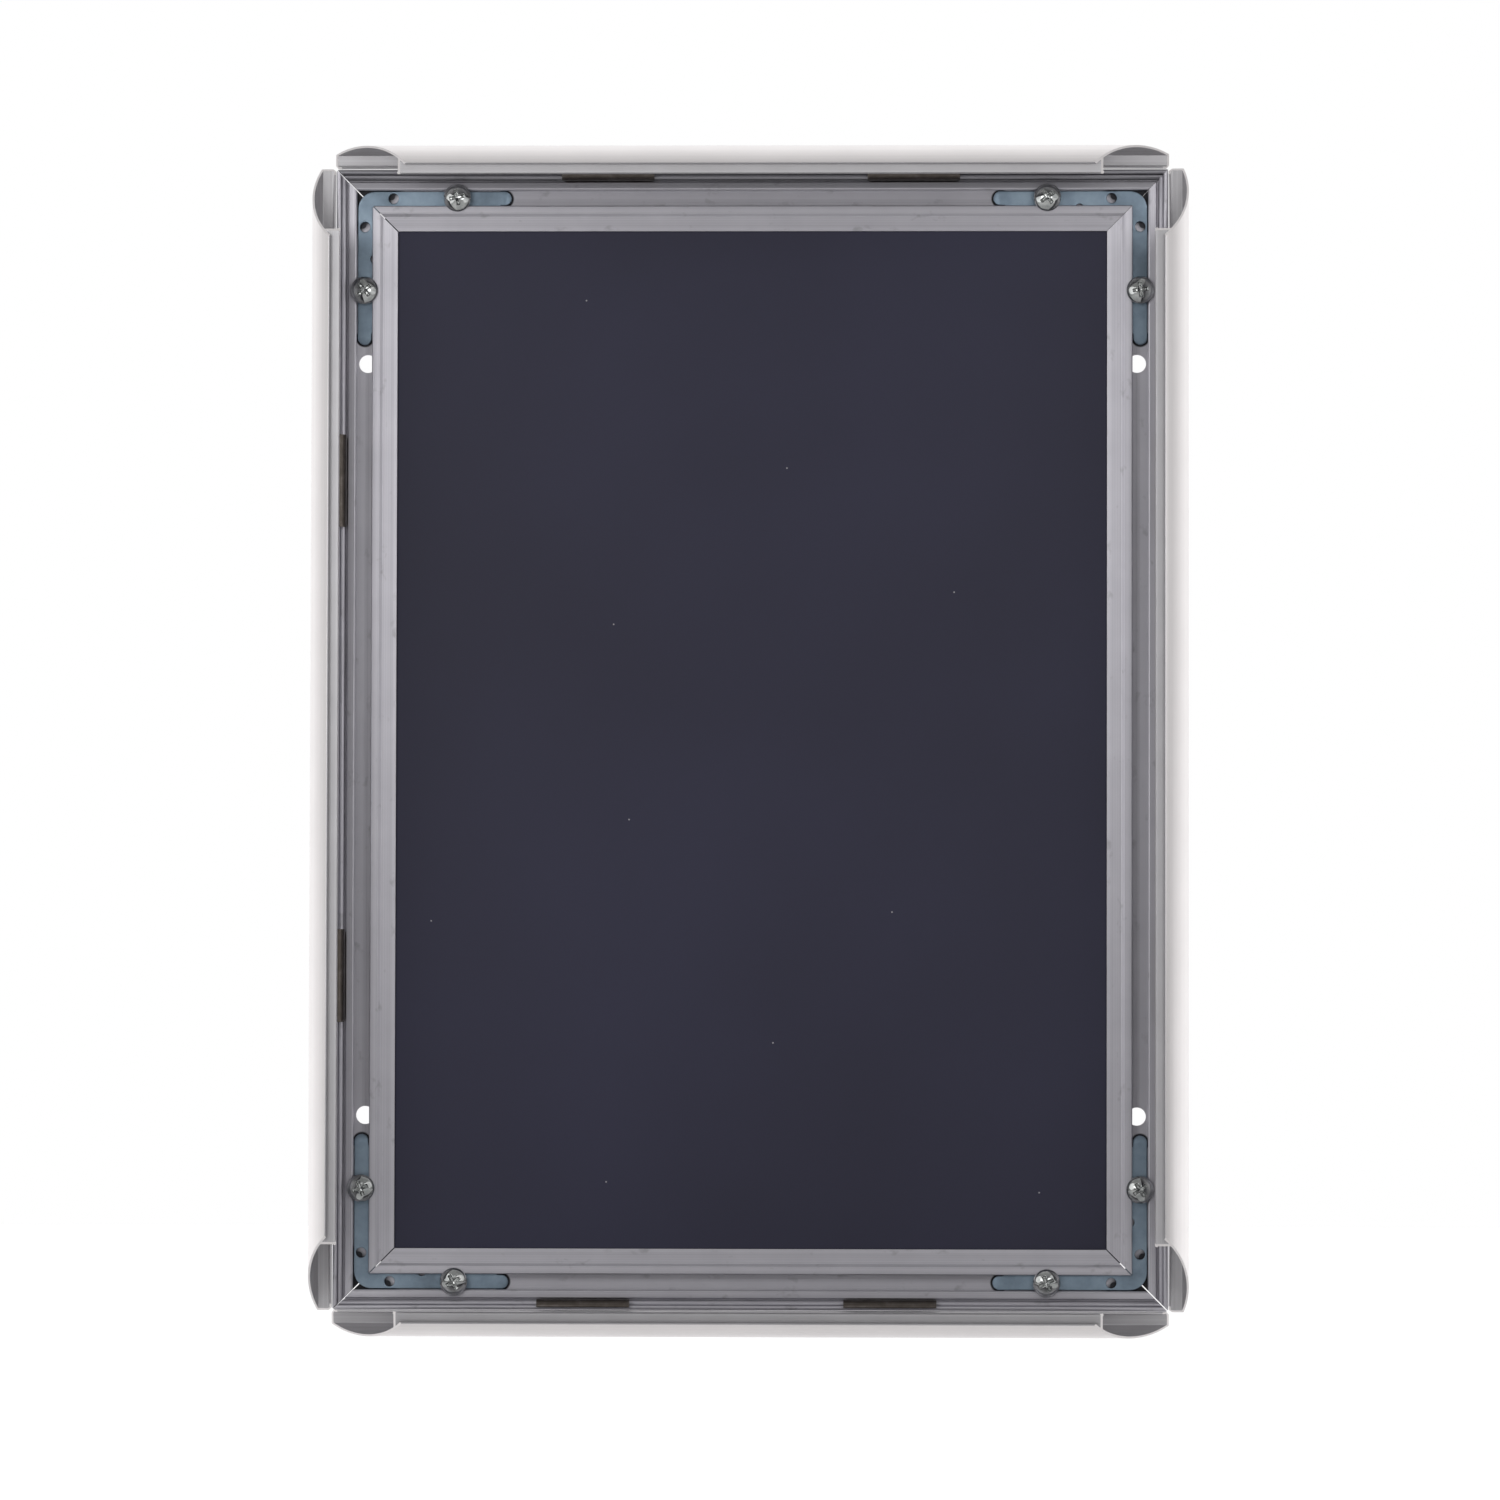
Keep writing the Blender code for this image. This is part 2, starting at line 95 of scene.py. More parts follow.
def noiseOf(tree, place, look):
    # noise at the look's own scale, its space drawn out along V where the look has a stretch
    if "stretch" in look:
        mapping = addNode(tree, "ShaderNodeMapping")
        mapping.inputs["Scale"].default_value = (1, look["stretch"], 1)
        tree.links.new(place, mapping.inputs["Vector"])
        place = mapping.outputs[0]
    node = addNode(tree, "ShaderNodeTexNoise")
    node.inputs["Scale"].default_value = look["scale"]
    node.inputs["Detail"].default_value = look["detail"]
    node.inputs["Roughness"].default_value = look["roughness"]
    tree.links.new(place, node.inputs["Vector"])
    return node.outputs["Fac"]


def toRange(tree, value, low, high, newLow, newHigh):
    node = addNode(tree, "ShaderNodeMapRange")
    for key, number in (("From Min", low), ("From Max", high), ("To Min", newLow), ("To Max", newHigh)):
        node.inputs[key].default_value = number
    tree.links.new(value, node.inputs["Value"])
    return node.outputs["Result"]


def colorRamp(tree, value, places, colors):
    node = addNode(tree, "ShaderNodeValToRGB")
    elements = node.color_ramp.elements
    while len(elements) < len(places):
        elements.new(0.5)
    for element, place, color in zip(elements, places, colors):
        element.position, element.color = place, (*color, 1)
    tree.links.new(value, node.inputs["Fac"])
    return node.outputs["Color"]


def calculate(tree, operation, first, second):
    node = addNode(tree, "ShaderNodeMath", operation=operation)
    for slot, value in zip(node.inputs, (first, second)):
        if isinstance(value, (int, float)):
            slot.default_value = value
        else:
            tree.links.new(value, slot)
    return node.outputs[0]


def sharedOut(tree, parts):
    # the sum of each value times the share in its look
    total = None
    for value, look in parts:
        part = calculate(tree, "MULTIPLY", value, look["share"])
        total = calculate(tree, "ADD", total, part) if total else part
    return total


def mixedColor(tree, share, first, second):
    # the first colour where the share is 0; where it is 1 the second, which may be a plain tone
    mix = addNode(tree, "ShaderNodeMix", data_type="RGBA")
    tree.links.new(share, mix.inputs[0])
    tree.links.new(first, mix.inputs[6])
    if isinstance(second, tuple):
        mix.inputs[7].default_value = (*second, 1)
    else:
        tree.links.new(second, mix.inputs[7])
    return mix.outputs[2]


def raised(tree, shader, height, relief):
    # relief: the bump's strength and its height in metres
    bump = addNode(tree, "ShaderNodeBump")
    bump.inputs["Strength"].default_value, bump.inputs["Distance"].default_value = relief
    tree.links.new(height, bump.inputs["Height"])
    tree.links.new(bump.outputs["Normal"], shader.inputs["Normal"])


# ---- camera, light and surroundings ----

camera = {
    "eye": (0.07064, -2.5, -0.10989),   # metres
    "pitch": 0.0427, "roll": -0.0022, "turn": 0.0284,   # radians
    "lens": 212.2, "sensor": 36.0,   # millimetres
    "farthest": 60.0,   # metres
}


def makeCamera():
    data = bpy.data.cameras.new("camera")
    data.lens, data.sensor_width, data.clip_end = camera["lens"], camera["sensor"], camera["farthest"]
    turned = (Matrix.Rotation(camera["turn"], 3, "Z") @ Matrix.Rotation(camera["pitch"], 3, "X")
              @ Matrix.Rotation(camera["roll"], 3, "Y"))
    right, ahead, up = turned.col
    view = Matrix((right, up, -ahead)).transposed().to_4x4()
    view.translation = camera["eye"]
    obj = bpy.data.objects.new("camera", data)
    obj.matrix_world = view
    bpy.context.scene.collection.objects.link(obj)
    bpy.context.scene.camera = obj


lamps = {   # one on each hand, or one at 0 across: place and size in metres, watts of the left and the right one
    "front": {"across": 0.30, "ahead": -0.62, "height": 0.16, "size": 0.30, "power": (0.52, 0.48)},
    "side": {"across": 0.41, "ahead": -0.29, "height": 0.12, "size": 0.50, "power": (0.62, 0.36)},
    "upper": {"across": 0.0, "ahead": -0.70, "height": 0.36, "size": 0.25, "power": (0, 0.06)},
}


def makeLamp(name, place, size, power):
    # a soft disk that faces the upright line through the middle of the frame
    data = bpy.data.lights.new(name, "AREA")
    data.shape, data.size, data.energy = "DISK", size, power
    obj = bpy.data.objects.new(name, data)
    away = Vector((place[0], place[1], 0))
    obj.rotation_euler = away.to_track_quat("Z", "Y").to_euler()
    obj.location = place
    obj.visible_camera = False
    bpy.context.scene.collection.objects.link(obj)


room = {   # brightness on the camera's side, low and high up, rising to that of the backdrop
    "frontLow": 0.21, "frontHigh": 0.35, "climb": (0.0, 0.8), "backdrop": 1.0, "turn": (-0.3, 0.72),
}


def makeWorld():
    # plain white to the camera; what surfaces mirror is dim on the camera's side and bright at the backdrop
    world = bpy.data.worlds.new("room")
    bpy.context.scene.world = world
    world.use_nodes = True
    tree = world.node_tree
    tree.nodes.clear()
    around, white = [addNode(tree, "ShaderNodeBackground") for _ in range(2)]
    for light in (around, white):
        light.inputs["Color"].default_value = (1, 1, 1, 1)
    _, y, z = splitAxes(tree, addNode(tree, "ShaderNodeTexCoord").outputs["Generated"])
    blend = addNode(tree, "ShaderNodeMix")
    tree.links.new(toRange(tree, y, *room["turn"], 0, 1), blend.inputs[0])
    tree.links.new(toRange(tree, z, *room["climb"], room["frontLow"], room["frontHigh"]), blend.inputs[2])
    blend.inputs[3].default_value = room["backdrop"]
    tree.links.new(blend.outputs[0], around.inputs["Strength"])
    path = addNode(tree, "ShaderNodeLightPath").outputs
    seen = calculate(tree, "MAXIMUM", path["Is Camera Ray"], path["Is Transmission Ray"])
    mix = addNode(tree, "ShaderNodeMixShader")
    for socket, slot in zip((seen, around.outputs[0], white.outputs[0]), mix.inputs):
        tree.links.new(socket, slot)
    tree.links.new(mix.outputs[0], addNode(tree, "ShaderNodeOutputWorld").inputs["Surface"])


floor = {
    "level": -0.205, "reach": 6.0,   # metres
    "tone": 0.80, "roughness": 0.9, "specular": 0.1,
    "glow": 0.62, "reflectedFrom": -0.05, "reflectedTo": 0.15,   # metres towards the wall
}


def makeFloor():
    reach, level = floor["reach"], floor["level"]
    mesh = bpy.data.meshes.new("floor")
    mesh.from_pydata([(x * reach, y * reach, level) for x, y in ((-1, -1), (1, -1), (1, 1), (-1, 1))],
                     [], [(0, 1, 2, 3)])
    obj = bpy.data.objects.new("floor", mesh)
    bpy.context.scene.collection.objects.link(obj)
    paint, tree, shader = newFinish("pale floor", (floor["tone"],) * 3, floor["roughness"], 0.0, floor["specular"])
    shader.inputs["Emission Color"].default_value = (1, 1, 1, 1)
    # reflections see the glow only towards the backdrop, so that covers shade off towards the camera
    y = splitAxes(tree, addNode(tree, "ShaderNodeTexCoord").outputs["Object"])[1]
    fade = toRange(tree, y, floor["reflectedFrom"], floor["reflectedTo"], 0, 1)
    fade.node.interpolation_type = "SMOOTHSTEP"
    path = addNode(tree, "ShaderNodeLightPath").outputs
    seen = calculate(tree, "MAXIMUM", path["Is Camera Ray"], calculate(tree, "MULTIPLY", path["Is Glossy Ray"], fade))
    tree.links.new(calculate(tree, "MULTIPLY", seen, floor["glow"]), shader.inputs["Emission Strength"])
    mesh.materials.append(paint)


makeCamera()
makeWorld()
for name, lamp in lamps.items():
    for hand in ((-1, 1) if lamp["across"] else (1,)):
        makeLamp("{}_lamp_{}".format(name, "left" if hand < 0 else "right"),
                 (hand * lamp["across"], lamp["ahead"], lamp["height"]), lamp["size"], lamp["power"][hand > 0])
makeFloor()
bpy.context.scene.view_settings.view_transform = "Standard"
print("camera, lamps and floor placed")


# ---- outlines and surfaces ----

def arcPoints(centre, radius, start, end, steps):
    # points at even angles on a circle, both ends included
    angle = np.linspace(start, end, steps + 1)
    return np.stack([centre[0] + radius * np.cos(angle), centre[1] + radius * np.sin(angle)], 1)


def roundedOutline(points, radius, steps, mostOfEdge=0.42):
    # every corner P of a closed outline becomes a short parabola (1-t)^2 A + 2t(1-t) P + t^2 B,
    # where A and B lie on the two edges at the radius from P, or at mostOfEdge of a shorter edge
    corner = np.asarray(points, float)
    before, after = np.roll(corner, 1, 0) - corner, np.roll(corner, -1, 0) - corner
    lengthBefore, lengthAfter = np.linalg.norm(before, axis=1), np.linalg.norm(after, axis=1)
    reach = np.minimum(radius, mostOfEdge * np.minimum(lengthBefore, lengthAfter))
    a = corner + before * (reach / lengthBefore)[:, None]
    b = corner + after * (reach / lengthAfter)[:, None]
    t = np.linspace(0, 1, steps + 1)[None, :, None]
    curve = (1 - t) ** 2 * a[:, None] + 2 * t * (1 - t) * corner[:, None] + t ** 2 * b[:, None]
    return curve.reshape(-1, 2)


def outwardNormals(outline):
    # unit normals of a closed outline, from the chord between each point's neighbours
    chord = np.roll(outline, -1, 0) - np.roll(outline, 1, 0)
    normal = np.stack([chord[:, 1], -chord[:, 0]], 1)
    normal /= np.linalg.norm(normal, axis=1)[:, None]
    area = np.sum(outline[:, 0] * np.roll(outline[:, 1], -1) - np.roll(outline[:, 0], -1) * outline[:, 1])
    return normal if area > 0 else -normal


def standUp(points, turn, across):
    # lying axes to the frame's own: a quarter turn about X, a turn about Y, then out to the side
    x, y, z = points[:, 0], points[:, 1], points[:, 2]
    c, s = math.cos(turn), math.sin(turn)
    return np.stack([x * c + y * s - s * across / 2, -z, -x * s + y * c - c * across / 2], 1) * mm


def standCorner(points, turn, xSide, zSide):
    # the same turn, about a corner of the frame
    x, y, z = points[:, 0], points[:, 1], points[:, 2]
    c, s = math.cos(turn), math.sin(turn)
    return np.stack([x * c + y * s + xSide * outer["width"] / 2, -z,
                     -x * s + y * c + zSide * outer["height"] / 2], 1) * mm


def gridQuads(rows, count):
    # the quads between neighbouring rings of a grid, each ring closed on itself, and their row and column numbers
    i, j = np.meshgrid(np.arange(rows - 1), np.arange(count), indexing="ij")
    k = (j + 1) % count
    quads = np.stack([i * count + j, i * count + k, (i + 1) * count + k, (i + 1) * count + j], -1)
    return quads.reshape(-1, 4), i, j, k


def makePiece(name, vertices, faces, material, uv=None, sharpFrom=40, weighted=True, merge=0.0):
    # sharpFrom: degrees between two faces, from which the edge between them stays an edge; merge: metres
    mesh = bpy.data.meshes.new(name)
    mesh.from_pydata(vertices, [], faces)
    if uv is not None:
        mesh.uv_layers.new(name="along").data.foreach_set("uv", np.asarray(uv, np.float32).ravel())
    work = bmesh.new()
    work.from_mesh(mesh)
    if merge:
        bmesh.ops.remove_doubles(work, verts=work.verts, dist=merge)
    bmesh.ops.recalc_face_normals(work, faces=work.faces)
    work.to_mesh(mesh)
    work.free()
    mesh.shade_smooth()
    mesh.set_sharp_from_angle(angle=math.radians(sharpFrom))
    obj = bpy.data.objects.new(name, mesh)
    bpy.context.scene.collection.objects.link(obj)
    mesh.materials.append(material)
    if weighted:
        even = obj.modifiers.new("even normals", "WEIGHTED_NORMAL")
        even.keep_sharp = True
    return obj


sweep = {
    "cutEdge": 0.02, "stations": 8,
    "capOffset": 300, "sidesEnd": 200,   # in the map's U: where the cut ends lie, and what the sides stay below
}


def sweepOutline(name, outline, endsAt, place, material):
    # a closed outline carried along x: its point p runs between the two ends that endsAt gives for p;
    # the last ring at each end is drawn in by cutEdge, which rounds the sawn edge
    cutEdge, stations, capOffset = sweep["cutEdge"], sweep["stations"], sweep["capOffset"]
    low, high = endsAt(outline)
    count = len(outline)
    drawnIn = outline - outwardNormals(outline) * cutEdge
    firstEnd, lastEnd = endsAt(drawnIn)
    share = np.linspace(0, 1, stations + 1)[:, None]
    along = np.concatenate([firstEnd[None], low + cutEdge + (high - low - 2 * cutEdge) * share, lastEnd[None]])
    ringCount = len(along)
    section = np.concatenate([drawnIn, *[outline] * (stations + 1), drawnIn])
    points = np.column_stack([along.ravel(), section])
    step = np.linalg.norm(np.roll(outline, -1, 0) - outline, axis=1)
    around = np.concatenate([[0], np.cumsum(step)])
    quads, i, j, k = gridQuads(ringCount, count)
    u = np.stack([around[j], around[j + 1], around[j + 1], around[j]], -1)
    v = np.stack([along[i, j], along[i, k], along[i + 1, k], along[i + 1, j]], -1)
    uvSides = np.stack([u, v], -1).reshape(-1, 2) * mm
    firstCap = np.arange(count)[::-1]
    lastCap = (ringCount - 1) * count + np.arange(count)
    uvCaps = np.concatenate([drawnIn[::-1] + capOffset, drawnIn + capOffset]) * mm
    faces = quads.tolist() + [firstCap.tolist(), lastCap.tolist()]
    return makePiece(name, place(points), faces, material, np.concatenate([uvSides, uvCaps]))


# ---- the sections of rails and covers, which the finishes use too ----

rail = {
    "outerFace": 0.45, "hingeInset": 1.2, "hingeHeight": 6.4, "beadRadius": 0.65,
    "neckWidth": 0.9, "neckDrop": 2.4, "shoulderDrop": 1.6,
    "ridgeInset": 1.95, "ridgeWidth": 0.6, "ridgeHeight": 4.7, "ridgeSlope": 0.5,
    "grooveWidth": 0.68, "grooveFloor": 2.0,
    "channelInset": 6.1, "channelWidth": 4.4, "channelFloor": 0.9,
    "lipUnderside": 2.9, "lipHeight": 3.9, "lipSlope": 0.4, "lipEdge": 0.2,
    "outerUndercut": 0.4, "innerUndercut": 2.2,
    "stepInset": 12.72, "stepRun": 0.85, "flangeHeight": 3.1, "flangeThickness": 0.8, "flangeEdge": 17.7,
    "webThickness": 0.9, "rearLip": 0.8, "rearSetback": 1.1,
    "holeRadius": 2.55, "holeOffset": 106.5, "holeFaces": 64, "cutterHeight": 0.5, "cutterDepth": 2.8,
    "mitreGap": {"bottom_left": 0.19, "bottom_right": 0.19, "top_right": 0.05, "top_left": 0.18},
    "cornerRounding": 0.14, "roundingSteps": 4, "beadSteps": 18,
}

railEnds = {   # side: the corners where its x is least and greatest
    "bottom": ("bottom_left", "bottom_right"), "right": ("bottom_right", "top_right"),
    "top": ("top_right", "top_left"), "left": ("top_left", "bottom_left"),
}


cover = {
    "width": 21.2, "wall": 0.6, "footRise": 1.8, "footHook": 0.5,
    "crownInset": 7.8, "crownRise": 6.83, "crownRadius": 18.0,
    "clampInset": 18.8, "clampThickness": 0.65, "clampReach": 2.2, "clampBarb": 0.3, "clampToe": 0.3,
    "hookRadius": 0.95, "hookStart": 118.0, "hookEnd": 60.0, "filletRise": 0.6, "filletReach": 0.22,
    "openAngle": {"top": 89.0, "bottom": 100.0, "left": 91.5, "right": 86.5},
    "mitreGap": 0.2, "cornerRounding": 0.16,
    "roundingSteps": 3, "crownSteps": 52, "tipSteps": 5, "hollowSteps": 44, "hookSteps": 8,
}


def coverOutline():
    # about the hinge, closed: outer wall, crown arc, inner tip with its clamp, and the hook round the bead
    c = cover
    crown = np.array([c["crownInset"] - rail["hingeInset"], c["crownRise"] - c["crownRadius"]])
    outerFace = -rail["hingeInset"]
    innerFace = outerFace + c["wall"]
    innerRadius = c["crownRadius"] - c["wall"]
    tip = math.acos((c["width"] - c["crownInset"]) / c["crownRadius"])
    crownStart = math.acos((outerFace - crown[0]) / c["crownRadius"])
    hollowStart = math.acos((innerFace - crown[0]) / innerRadius)
    back = c["clampInset"] - rail["hingeInset"]
    front = back + c["clampThickness"]
    clampFront, clampBack = [math.acos((x - crown[0]) / innerRadius) for x in (front, back)]
    hookOuter = c["hookRadius"] + c["footHook"]
    meets = math.acos(innerFace / hookOuter)
    reach, barb, toe = c["clampReach"], c["clampBarb"], c["clampToe"]
    hookStart, hookEnd = math.radians(c["hookStart"]), math.radians(c["hookEnd"])
    parts = [
        [(outerFace, c["footRise"])],
        arcPoints(crown, c["crownRadius"], crownStart, tip, c["crownSteps"]),
        arcPoints(crown, innerRadius, tip, clampFront, c["tipSteps"]),
        [(front, toe - reach), (front + toe, -reach), (back, -reach), (back - barb, 2 * barb - reach),
         (back, 3 * barb - reach)],
        arcPoints(crown, innerRadius, clampBack, hollowStart, c["hollowSteps"]),
        [(innerFace, hookOuter * math.sin(meets) + c["filletRise"])],
        arcPoints((0, 0), hookOuter, meets - c["filletReach"] / hookOuter, hookEnd, c["hookSteps"]),
        arcPoints((0, 0), c["hookRadius"], hookEnd, hookStart, c["hookSteps"]),
    ]
    return roundedOutline(np.concatenate(parts), c["cornerRounding"], c["roundingSteps"])


def crownLength():
    # metres round the section from its first point to the tip, where the crown's side ends
    outline = coverOutline()
    step = np.linalg.norm(np.diff(outline, axis=0), axis=1)
    tip = np.argmax(outline[:, 0])
    return float(step[:tip].sum()) * mm


# ---- finishes ----

aluminium = {
    "rail": {"dark": (0.45, 0.44, 0.48), "light": (0.65, 0.635, 0.68), "roughness": 0.45, "anisotropy": 0.5},
    "cover": {"dark": (0.84, 0.81, 0.81), "light": (0.96, 0.925, 0.925), "roughness": 0.30, "anisotropy": 0.0},
    # the cover's inner side: its tones are darker as painted shade in the hollow, its roughness is its own
    "inside": {"dark": (0.44, 0.43, 0.44), "light": (0.62, 0.61, 0.63), "roughness": 0.50},
    "places": (0.36, 0.62), "rougher": 0.06, "smoother": 0.04, "relief": (0.05, 0.00002),
    "lines": {"scale": 5200, "stretch": 0.00006, "detail": 4, "roughness": 0.6, "share": 0.55},
    "bands": {"scale": 700, "stretch": 0.0012, "detail": 2, "roughness": 0.5, "share": 0.30},
    "clouds": {"scale": 60, "detail": 3, "roughness": 0.55, "share": 0.15},
    "smudges": {"scale": 210, "stretch": 0.6, "detail": 3, "roughness": 0.6,
                "from": 0.62, "to": 0.72, "most": 0.32, "tone": (0.20, 0.195, 0.20)},
}

shade = {   # millimetres; painted shade: a darker channel floor near the mitres, past the tongues and in the holes, and a painted shadow of the top cover on the ledge under it
    "cornerLine": 255.3, "cornerFade": 1.0, "fade": 0.35, "heightSlack": 0.2,
    "spots": ((70.35, 153.45, 2.75), (109.95, 113.85, 2.75),   # x, z, reach
              (102.7, 154.3, 1.45), (110.8, 146.2, 1.45)),
    "tone": (0.045, 0.045, 0.05), "ledge": 5.6, "ledgeFade": 0.3, "ledgeShare": 0.42,
}


def shadedRails(tree, color):
    # the first mask, painted shade on the channel's floor: at the height of the channel's floor, beyond the line |x|
    # + |z| = cornerLine, or within reach of the middle of a tongue's round end or of the far side of a hole
    s = shade
    place = addNode(tree, "ShaderNodeTexCoord").outputs["Object"]
    mirrored = addNode(tree, "ShaderNodeVectorMath", operation="ABSOLUTE")
    tree.links.new(place, mirrored.inputs[0])
    x, y, z = splitAxes(tree, mirrored.outputs[0])
    flat = addNode(tree, "ShaderNodeCombineXYZ")
    tree.links.new(x, flat.inputs[0])
    tree.links.new(z, flat.inputs[2])
    spots = toRange(tree, calculate(tree, "ADD", x, z), (s["cornerLine"] - s["cornerFade"]) * mm,
                    (s["cornerLine"] + s["cornerFade"]) * mm, 0, 1)
    for spotX, spotZ, reach in s["spots"]:
        gap = addNode(tree, "ShaderNodeVectorMath", operation="DISTANCE")
        gap.inputs[1].default_value = (spotX * mm, 0, spotZ * mm)
        tree.links.new(flat.outputs[0], gap.inputs[0])
        spot = toRange(tree, gap.outputs["Value"], (reach - s["fade"]) * mm, reach * mm, 1, 0)
        spots = calculate(tree, "MAXIMUM", spots, spot)
    onFloor = calculate(tree, "COMPARE", y, rail["channelFloor"] * mm)
    onFloor.node.inputs[2].default_value = s["heightSlack"] * mm
    color = mixedColor(tree, calculate(tree, "MULTIPLY", spots, onFloor), color, s["tone"])
    # the second mask, a painted shadow of the top cover: the ledge above the line of the top rail's outer lip,
    # between its mitres
    height = splitAxes(tree, place)[2]
    edge = outer["height"] / 2 - s["ledge"]
    mitre = (outer["height"] - outer["width"]) / 2
    high = toRange(tree, height, edge * mm, (edge + s["ledgeFade"]) * mm, 0, s["ledgeShare"])
    within = toRange(tree, calculate(tree, "SUBTRACT", height, x), mitre * mm, (mitre + s["ledgeFade"]) * mm, 0, 1)
    return mixedColor(tree, calculate(tree, "MULTIPLY", high, within), color, s["tone"])


def smudged(tree, place, color):
    # faint rubs, where a coarse noise is at its highest
    look = aluminium["smudges"]
    share = toRange(tree, noiseOf(tree, place, look), look["from"], look["to"], 0, look["most"])
    return mixedColor(tree, share, color, look["tone"])


def drawnAluminium(name, kind):
    # satin anodised extrusion: die lines run along it, so their noise is drawn out along V of the piece's own map
    look, tones = aluminium, aluminium[kind]
    material, tree, shader = newFinish(name, tones["light"], tones["roughness"], 1.0)
    place = addNode(tree, "ShaderNodeUVMap", uv_map="along").outputs[0]
    noises = [(noiseOf(tree, place, look[key]), look[key]) for key in ("lines", "bands", "clouds")]
    mixed = sharedOut(tree, noises)
    color = colorRamp(tree, mixed, look["places"], (tones["dark"], tones["light"]))
    rough = toRange(tree, mixed, *noiseSpan, tones["roughness"] + look["rougher"],
                    tones["roughness"] - look["smoother"])
    if kind == "rail":
        # painted shade on the channel's floor and a painted shadow on the top ledge, laid over the faint rubs
        color = shadedRails(tree, smudged(tree, place, color))
    else:
        # past the crown's own length round the section, and short of the cut ends, is the inner side: rougher, and
        # darker as painted shade in the cover's hollow
        inner = look["inside"]
        around = splitAxes(tree, place)[0]
        inside = calculate(tree, "MULTIPLY", calculate(tree, "GREATER_THAN", around, crownLength()),
                           calculate(tree, "LESS_THAN", around, sweep["sidesEnd"] * mm))
        paintedShadeInside = colorRamp(tree, mixed, look["places"], (inner["dark"], inner["light"]))
        color = mixedColor(tree, inside, color, paintedShadeInside)
        rough = calculate(tree, "ADD", rough,
                          calculate(tree, "MULTIPLY", inside, inner["roughness"] - tones["roughness"]))
    tree.links.new(color, shader.inputs["Base Color"])
    tree.links.new(rough, shader.inputs["Roughness"])
    raised(tree, shader, noises[0][0], look["relief"])
    shader.inputs["Anisotropic"].default_value = tones["anisotropy"]
    tangent = addNode(tree, "ShaderNodeTangent", direction_type="UV_MAP", uv_map="along")
    tree.links.new(tangent.outputs[0], shader.inputs["Tangent"])
    return material


zinc = {
    "tones": ((0.175, 0.223, 0.272), (0.262, 0.335, 0.41), (0.345, 0.43, 0.51)), "places": (0.30, 0.50, 0.70),
    "roughness": 0.46, "smoother": 0.05, "rougher": 0.10, "relief": (0.12, 0.00003),
    "clouds": {"scale": 85, "detail": 4, "roughness": 0.6, "share": 0.85},
    "grain": {"scale": 1400, "detail": 2, "roughness": 0.5, "share": 0.15},
}


def zincPlate(name):
    # blue zinc plate: soft clouds of darker passivate and a faint grain
    material, tree, shader = newFinish(name, zinc["tones"][1], zinc["roughness"], 1.0)
    place = addNode(tree, "ShaderNodeTexCoord").outputs["Object"]
    clouds, grain = noiseOf(tree, place, zinc["clouds"]), noiseOf(tree, place, zinc["grain"])
    mixed = sharedOut(tree, [(clouds, zinc["clouds"]), (grain, zinc["grain"])])
    tree.links.new(colorRamp(tree, mixed, zinc["places"], zinc["tones"]), shader.inputs["Base Color"])
    tree.links.new(toRange(tree, grain, *noiseSpan, zinc["roughness"] - zinc["smoother"],
                           zinc["roughness"] + zinc["rougher"]), shader.inputs["Roughness"])
    raised(tree, shader, grain, zinc["relief"])
    return material


plate = {
    "tones": ((0.30, 0.315, 0.315), (0.62, 0.63, 0.62)), "roughness": (0.04, 0.13), "relief": (0.10, 0.00005),
    "haze": {"scale": 420, "detail": 3, "roughness": 0.6},
}


def brightScrewPlate(name):
    # bright plate with faint swirls of polish and tiny pits
    material, tree, shader = newFinish(name, plate["tones"][1], plate["roughness"][1], 1.0)
    haze = noiseOf(tree, addNode(tree, "ShaderNodeTexCoord").outputs["Object"], plate["haze"])
    tree.links.new(colorRamp(tree, haze, noiseSpan, plate["tones"]), shader.inputs["Base Color"])
    tree.links.new(toRange(tree, haze, *noiseSpan, *plate["roughness"]), shader.inputs["Roughness"])
    raised(tree, shader, haze, plate["relief"])
    return material


steel = {
    "tones": ((0.06, 0.05, 0.045), (0.11, 0.095, 0.085), (0.22, 0.20, 0.19)), "places": (0.35, 0.55, 0.75),
    "roughness": (0.46, 0.30), "relief": (0.10, 0.00004),
    "rolled": {"scale": 2600, "stretch": 0.02, "detail": 3, "roughness": 0.55, "share": 0.5},
    "scuffs": {"scale": 240, "detail": 4, "roughness": 0.65, "share": 0.5},
}


def temperedSteel(name):
    # dark brown oiled steel strip, with rolled lines along it and a few lighter scuffs
    material, tree, shader = newFinish(name, steel["tones"][1], steel["roughness"][1], 1.0)
    place = addNode(tree, "ShaderNodeUVMap", uv_map="along").outputs[0]
    rolled, scuffs = noiseOf(tree, place, steel["rolled"]), noiseOf(tree, place, steel["scuffs"])
    mixed = sharedOut(tree, [(rolled, steel["rolled"]), (scuffs, steel["scuffs"])])
    tree.links.new(colorRamp(tree, mixed, steel["places"], steel["tones"]), shader.inputs["Base Color"])
    tree.links.new(toRange(tree, mixed, *noiseSpan, *steel["roughness"]), shader.inputs["Roughness"])
    raised(tree, shader, rolled, steel["relief"])
    return material


panel = {
    "tones": ((0.0165, 0.0156, 0.0345), (0.0242, 0.0236, 0.0515)), "places": (0.35, 0.65), "specular": 0.38,
    "roughness": 0.52, "smoother": 0.05, "rougher": 0.08, "relief": (0.18, 0.00006),
    "grain": {"scale": 2600, "detail": 2, "roughness": 0.5, "share": 0.35},
    "clouds": {"scale": 9, "detail": 2, "roughness": 0.5, "share": 0.65},
    "specksPerMetre": 15.0, "speckRadius": 0.00022, "dust": (0.35, 0.34, 0.36),
}


